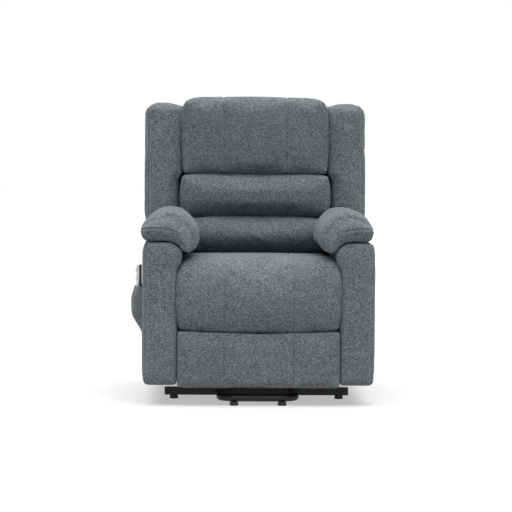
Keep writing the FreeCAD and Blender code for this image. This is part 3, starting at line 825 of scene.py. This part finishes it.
def arm_pads():
    made = []
    for name, side in SIDES:
        rings = [(0.0, 0.965, PAD_FRONT)]
        for k in range(9):
            turn = math.pi / 2 * k / 8
            y = PAD_FRONT + 3 + PAD_NOSE * (1 - math.cos(turn))
            rings.append((math.sin(turn), 0.985 + 0.015 * math.sin(turn), y))
        rings += [(1.0, 1.0, y) for y in range(-330, 70, 40)]
        rings += [(1.0, 0.985, 96), (1.0, 0.96, 118), (1.0, 0.90, PAD_REAR)]
        vertices = []
        for share, shrink, y in rings:
            vertices += pad_ring(share, shrink, y, side)
        faces = tube_faces(len(rings), PAD_UPPER_POINTS + PAD_LOWER_POINTS)
        piece = new_object(f"arm_pillow_{name}", vertices, faces)
        remesh(piece, 6 * MM)

        def undercut(x, y, z, side=side):
            below = smoothstep(0, 44, pad_seam_gap(stretch(side * x, OUTER_END[side], DRAWN_END), z))
            return (0, 20 * below * smoothstep(-395, -428, y), 0)
        sculpt(piece, undercut)

        def held(x, y, z, normal, side=side):
            u = side * x
            on_seam = y < -415 and pad_seam_gap(u, z) < 4
            return z < 557 and u > 280 or y > 118 or on_seam
        stuff(piece, 3.5, 7, held, 0.015)
        made.append((piece, f"arm_pad_{name}"))
    return made


def pad_seam_gap(u, z):
    """Distance in mm from the seam between a pillow's top and its front boxing."""
    here = Vector((u, z))
    gap = 1e9
    for a, b in zip(PAD_SEAM, PAD_SEAM[1:]):
        start, end = Vector(a), Vector(b)
        t = max(0, min(1, (here - start).dot(end - start) / (end - start).length_squared))
        gap = min(gap, (here - start.lerp(end, t)).length)
    return gap


# ---- Wings and the outside of the back ----
WING_SPAN = (272, 390.5)
WING_CORNERS = [(443, 524, 24), (452, 988, 30), (430, 1017, 24), (196, 1012, 26), (160, 620, 60)]
COVER_HALF = 272.5
CHEEK_INNER = 263.5
LIP_HALF = 246
COVER_THICK = 12
COVER_TOP_PATH = [(441, 470), (447, 720), (453, 960), (452, 1004), (440, 1026), (412, 1033), (300, 1034),
                  (296, 1016)]
CHEEK_CORNERS = [(434, 470, 0), (441, 720, 0), (446, 1000, 0), (430, 1022, 0), (297, 1022, 0),
                 (297, 640, 0), (342, 600, 0), (342, 420, 0), (352, 330, 0)]
PANEL_OUTLINE = [(-279, 70, 5), (279, 70, 5), (279, 303, 3), (-279, 303, 3)]
PANEL_DEPTH = (392.5, 401)


def wings():
    made = []
    for name, side in SIDES:
        outline = rounded([*WING_CORNERS, *hinge_arc(174.5, 122, 78, 9)])
        piece = side_piece(f"wing_{name}_cover", side, outline, *WING_SPAN, 8, 18)
        remesh(piece, 7 * MM)

        def shape(x, y, z, side=side):
            u = side * x
            top = smoothstep(940, 1010, z)
            face = smoothstep(260, 180, y)
            inner = smoothstep(325, 272, u)
            lean = max(smoothstep(735, 780, z) * smoothstep(250, 190, y), smoothstep(985, 1005, z))
            outwards = -side * (16 * lean + 5 * smoothstep(1000, 1012, z)) * inner
            backwards = face * (15 * inner ** 1.5 - 4 * max(0, 1 - ((u - 350) / 50) ** 2))
            return (outwards, backwards, top * (4 - 5 * inner))
        sculpt(piece, shape)

        def held(x, y, z, normal, side=side):
            u = side * x
            return y > 425 or u < 279 and y > 230 or abs(u - 384) < 4 and abs(y - 200) < 12
        stuff(piece, 3.5, 7, held, 0.012)
        made.append((piece, f"wing_{name}"))
    return made


def rear_cover():
    """The shell behind the back, with a cheek at each side and a lip that hides its lower edge."""
    outer = [Vector((y, z)) for y, z, _ in hinge_arc(189, -45.4, -2, 12)]
    outer += [Vector(point) for point in COVER_TOP_PATH]
    inner = []
    for i, point in enumerate(outer):
        ahead = outer[min(len(outer) - 1, i + 1)] - outer[max(0, i - 1)]
        inner.append(point + Vector((-ahead.y, ahead.x)).normalized() * COVER_THICK)
    outline = outer + inner[::-1]
    piece = side_slab("back_outer_cover", outline, -COVER_HALF, COVER_HALF, 5, 5, 3)
    lip = [*hinge_arc(189, -50, -43, 4), *hinge_arc(179, -43, -50, 4)]
    join(piece, side_slab("lip", rounded(lip), -LIP_HALF, LIP_HALF, 2, 2))
    cheek = rounded([*hinge_arc(184, -45, -2, 10), *CHEEK_CORNERS])
    for _, side in SIDES:
        join(piece, side_piece("cheek", side, cheek, CHEEK_INNER, COVER_HALF, 2, 2))
    remesh(piece, 6 * MM)
    sculpt(piece, lambda x, y, z: (-0.07 * x * smoothstep(1004, 1022, z), 0, 0))
    return piece


def lower_panel():
    piece = front_slab("lower_back_panel", rounded(PANEL_OUTLINE), *PANEL_DEPTH, 2, 3)
    remesh(piece, 6 * MM)
    return piece


POUCH_ROWS = 22
POUCH_COLUMNS = 26
POUCH_CLOTH = 2.2
POUCH_X = -390
POUCH_Y = -210
POUCH_HALF = 88
POUCH_LOW = 228
POUCH_HIGH = 393


def pocket():
    """Sagging pouch sewn to the outside of the right arm."""
    vertices = []
    for shell in (0, 1):
        for r in range(POUCH_ROWS + 1):
            t = r / POUCH_ROWS
            z = POUCH_LOW + t * (POUCH_HIGH - POUCH_LOW)
            for c in range(POUCH_COLUMNS + 1):
                s = c / POUCH_COLUMNS * 2 - 1
                y = POUCH_Y + POUCH_HALF * s
                belly = (1 - abs(s) ** 3.2) ** 0.8
                sag = 0.62 + 0.38 * math.sin(math.pi * min(1, 0.22 + 0.75 * (1 - t)))
                mouth = 1.0 if t < 0.75 else 1 - 0.18 * smoothstep(0.75, 1, t)
                fold = 1.4 * math.sin(s * 9 + t * 3) * belly
                depth = 1 + (41 * sag * mouth) * belly * smoothstep(-0.08, 0.42, t) + fold
                out = max(0.4, depth - shell * POUCH_CLOTH)
                vertices.append(place(POUCH_X - out, y, z + (shell * 1.5 if t == 0 else 0)))
    faces = []
    width = POUCH_COLUMNS + 1
    back = (POUCH_ROWS + 1) * width
    for r in range(POUCH_ROWS):
        for c in range(POUCH_COLUMNS):
            a = r * width + c
            faces.append((a, a + 1, a + width + 1, a + width))
            b = back + a
            faces.append((b, b + width, b + width + 1, b + 1))
    for r in range(POUCH_ROWS):
        for c in (0, POUCH_COLUMNS):
            a = r * width + c
            faces.append((a, a + width, back + a + width, back + a))
    for c in range(POUCH_COLUMNS):
        for r in (0, POUCH_ROWS):
            a = r * width + c
            faces.append((a, a + 1, back + a + 1, back + a))
    return new_object("side_pouch", vertices, faces)


# ---- Pulled seams and their top-stitching ----
STITCH_OFFSET = 5


def two_rows(x, start, end, towards):
    """The same straight row on both sides of the chair; start and end are (y, z)."""
    return [(line((side * x, *start), (side * x, *end)), towards) for _, side in SIDES]


def sew_head(head):
    groove(head, lambda x, y, z, n: abs(abs(x) - PANEL_SEAM) if n.y < 0.3 else None, 2.8, 3.0)
    rows = two_rows(PANEL_SEAM + STITCH_OFFSET, (200, 786), (200, 1036), BACKWARDS)
    sew(head, "head_stitching", rows, "back")


def sew_seat(piece):
    def seam(x, y, z, normal):
        return abs(abs(x) - SEAT_SEAM) if normal.y < -0.2 or normal.z > 0.2 else None
    groove(piece, seam, 3.0, 3.2)
    rows = []
    for _, side in SIDES:
        x = side * (SEAT_SEAM + STITCH_OFFSET)
        rows.append((line((x, -440, 258), (x, -440, 440)), BACKWARDS))
        rows.append((line((x, -400, 480), (x, 90, 480)), DOWN))
    sew(piece, "seat_stitching", rows, "chair")


def sew_legrest(piece):
    groove(piece, lambda x, y, z, n: abs(abs(x) - SEAT_SEAM) if n.y < -0.3 else None, 2.6, 3.0)
    rows = two_rows(SEAT_SEAM + STITCH_OFFSET, (-430, 66), (-430, 240), BACKWARDS)
    sew(piece, "legrest_stitching", rows, "legrest")


def sew_arm(piece, name, side):
    def front_seam(x, y, z, normal):
        return abs(side * x - 379) if y < -412 else None

    def side_seam(x, y, z, normal):
        return abs(y + 400) if side * normal.x > 0.6 and side * x > 360 else None
    groove(piece, front_seam, 2.0, 3.0)
    groove(piece, side_seam, 1.6, 3.0)
    row = line((side * 373, -425, 84), (side * 373, -425, 538))
    sew(piece, f"arm_stitching_{name}", [(row, BACKWARDS)], "chair")


def sew_wing(piece, name, side):
    def seam(x, y, z, normal):
        return abs(side * x - 383) if normal.y < -0.3 or normal.z > 0.5 else None
    groove(piece, seam, 2.0, 3.0)
    row = line((side * 376, 150, 600), (side * 376, 200, 1000))
    sew(piece, f"wing_stitching_{name}", [(row, BACKWARDS)], "back")


def sew_rear(cover, panel):
    rows = two_rows(258, (500, 330), (500, 1010), FORWARDS)
    rows.append((line((-256, 500, 1008), (256, 500, 1008)), FORWARDS))
    sew(cover, "rear_stitching", rows, "back")
    row = line((-262, 420, 290), (262, 420, 290))
    sew(panel, "panel_stitching", [(row, FORWARDS)], "chair")


def sew_pouch(piece):
    rows = [(line((-520, -288, z), (-520, -132, z)), LEFTWARDS) for z in (383, 387)]
    rows += [(line((-520, y, 240), (-520, y, 378)), LEFTWARDS) for y in (-291, -129)]
    sew(piece, "pouch_stitching", rows, "chair")


def sew_pillow(piece, name, side):
    def seam(x, y, z, normal):
        u = stretch(side * x, OUTER_END[side], DRAWN_END)
        return pad_seam_gap(u, z) + 6 * smoothstep(285, 250, u) if y < -405 and normal.y < 0.2 else None
    groove(piece, seam, 4.5, 3.2)
    track = []
    for k in range(60):
        point = along(PAD_SEAM, k / 60 * 0.93)
        x = side * stretch(point.x, DRAWN_END, OUTER_END[side])
        track.append(Vector((x, -436, point.y + STITCH_OFFSET)))
    sew(piece, f"pillow_stitching_{name}", [(track, BACKWARDS)], "chair", 5.0)


# ---- Light, floor, camera ----
WHITE = (1, 1, 1, 1)
SKY = 0.6
FLOOR_HALF = 30
FLOOR_GREYS = ((0.26, 0.26, 0.26), (0.29, 0.29, 0.29))
FLOOR_GLOW = 0.45
# Name, tilt, turn and spread in degrees, and power.
SUNS = (("overhead", 10, 8, 80, 6.5), ("front_fill", 62, 24, 60, 0.2))


def studio():
    """A pale floor, a sky that the camera sees as plain white, and two wide suns."""
    corners = [(x * FLOOR_HALF, y * FLOOR_HALF, 0) for x, y in ((-1, -1), (1, -1), (1, 1), (-1, 1))]
    floor = new_object("floor", corners, [(0, 1, 2, 3)])
    material, tree, shader = new_material("pale_floor")
    coords = object_coords(tree)
    shade = noise_value(tree, coords, 3.0, 2.0)
    tree.links.new(mix_colour(tree, shade, *FLOOR_GREYS), shader.inputs["Base Color"])
    shader.inputs["Roughness"].default_value = 0.9
    shader.inputs["Specular IOR Level"].default_value = 0.1
    shader.inputs["Emission Color"].default_value = WHITE
    shader.inputs["Emission Strength"].default_value = FLOOR_GLOW
    floor.data.materials.append(material)
    world = bpy.data.worlds.new("studio")
    SCENE.world = world
    world.use_nodes = True
    tree = world.node_tree
    background = tree.nodes["Background"]
    background.inputs["Color"].default_value = WHITE
    seen = node(tree, "ShaderNodeLightPath").outputs["Is Camera Ray"]
    tree.links.new(maths(tree, "MULTIPLY_ADD", seen, 1.0 - SKY, SKY), background.inputs["Strength"])
    for name, tilt, turn, spread, power in SUNS:
        light = bpy.data.lights.new(name, "SUN")
        light.angle = math.radians(spread)
        light.energy = power
        lamp = bpy.data.objects.new(name, light)
        SCENE.collection.objects.link(lamp)
        lamp.rotation_euler = (math.radians(tilt), 0, math.radians(turn))
        lamp.location = (0, -2, 4)
    SCENE.view_settings.view_transform = "Standard"


def camera():
    data = bpy.data.cameras.new("camera")
    data.lens = 168.0
    data.sensor_width = 36.0
    data.clip_end = 100
    obj = bpy.data.objects.new("camera", data)
    SCENE.collection.objects.link(obj)
    obj.location = (-0.195, -8.407, 0.900)
    yaw, pitch, roll = math.radians(1.5), math.radians(-2.83), math.radians(0.4)
    aim = Matrix.Rotation(-yaw, 4, "Z") @ Matrix.Rotation(math.pi / 2 + pitch, 4, "X")
    obj.rotation_euler = (aim @ Matrix.Rotation(roll, 4, "Z")).to_euler()
    SCENE.camera = obj


# ---- Everything together ----
dress_cad_nodes()
cushions = back_cushions()
seat_piece = seat()
legrest_piece = legrest()
arm_pieces = arms()
pad_pieces = arm_pads()
wing_pieces = wings()
cover_piece = rear_cover()
lining_piece = back_lining()
panel_piece = lower_panel()
pouch_piece = pocket()
inflate_waiting()
for piece, node_name in cushions + wing_pieces:
    upholster(piece, "back", node_name)
for piece, node_name in arm_pieces + pad_pieces:
    upholster(piece, "chair", node_name)
upholster(seat_piece, "chair", "seat_cushion")
upholster(legrest_piece, "legrest", "legrest_pad")
upholster(cover_piece, "back", "back_rear_cover")
finish_soft(lining_piece, LINING, 0)
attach(lining_piece, "back")
upholster(panel_piece, "chair", "lower_rear_panel")
upholster(pouch_piece, "chair", "side_pocket")

sew_head(cushions[0][0])
sew_seat(seat_piece)
sew_legrest(legrest_piece)
for (piece, _), (name, side) in zip(arm_pieces, SIDES):
    sew_arm(piece, name, side)
for (piece, _), (name, side) in zip(wing_pieces, SIDES):
    sew_wing(piece, name, side)
sew_rear(cover_piece, panel_piece)
sew_pouch(pouch_piece)
for (piece, _), (name, side) in zip(pad_pieces, SIDES):
    sew_pillow(piece, name, side)
studio()
camera()
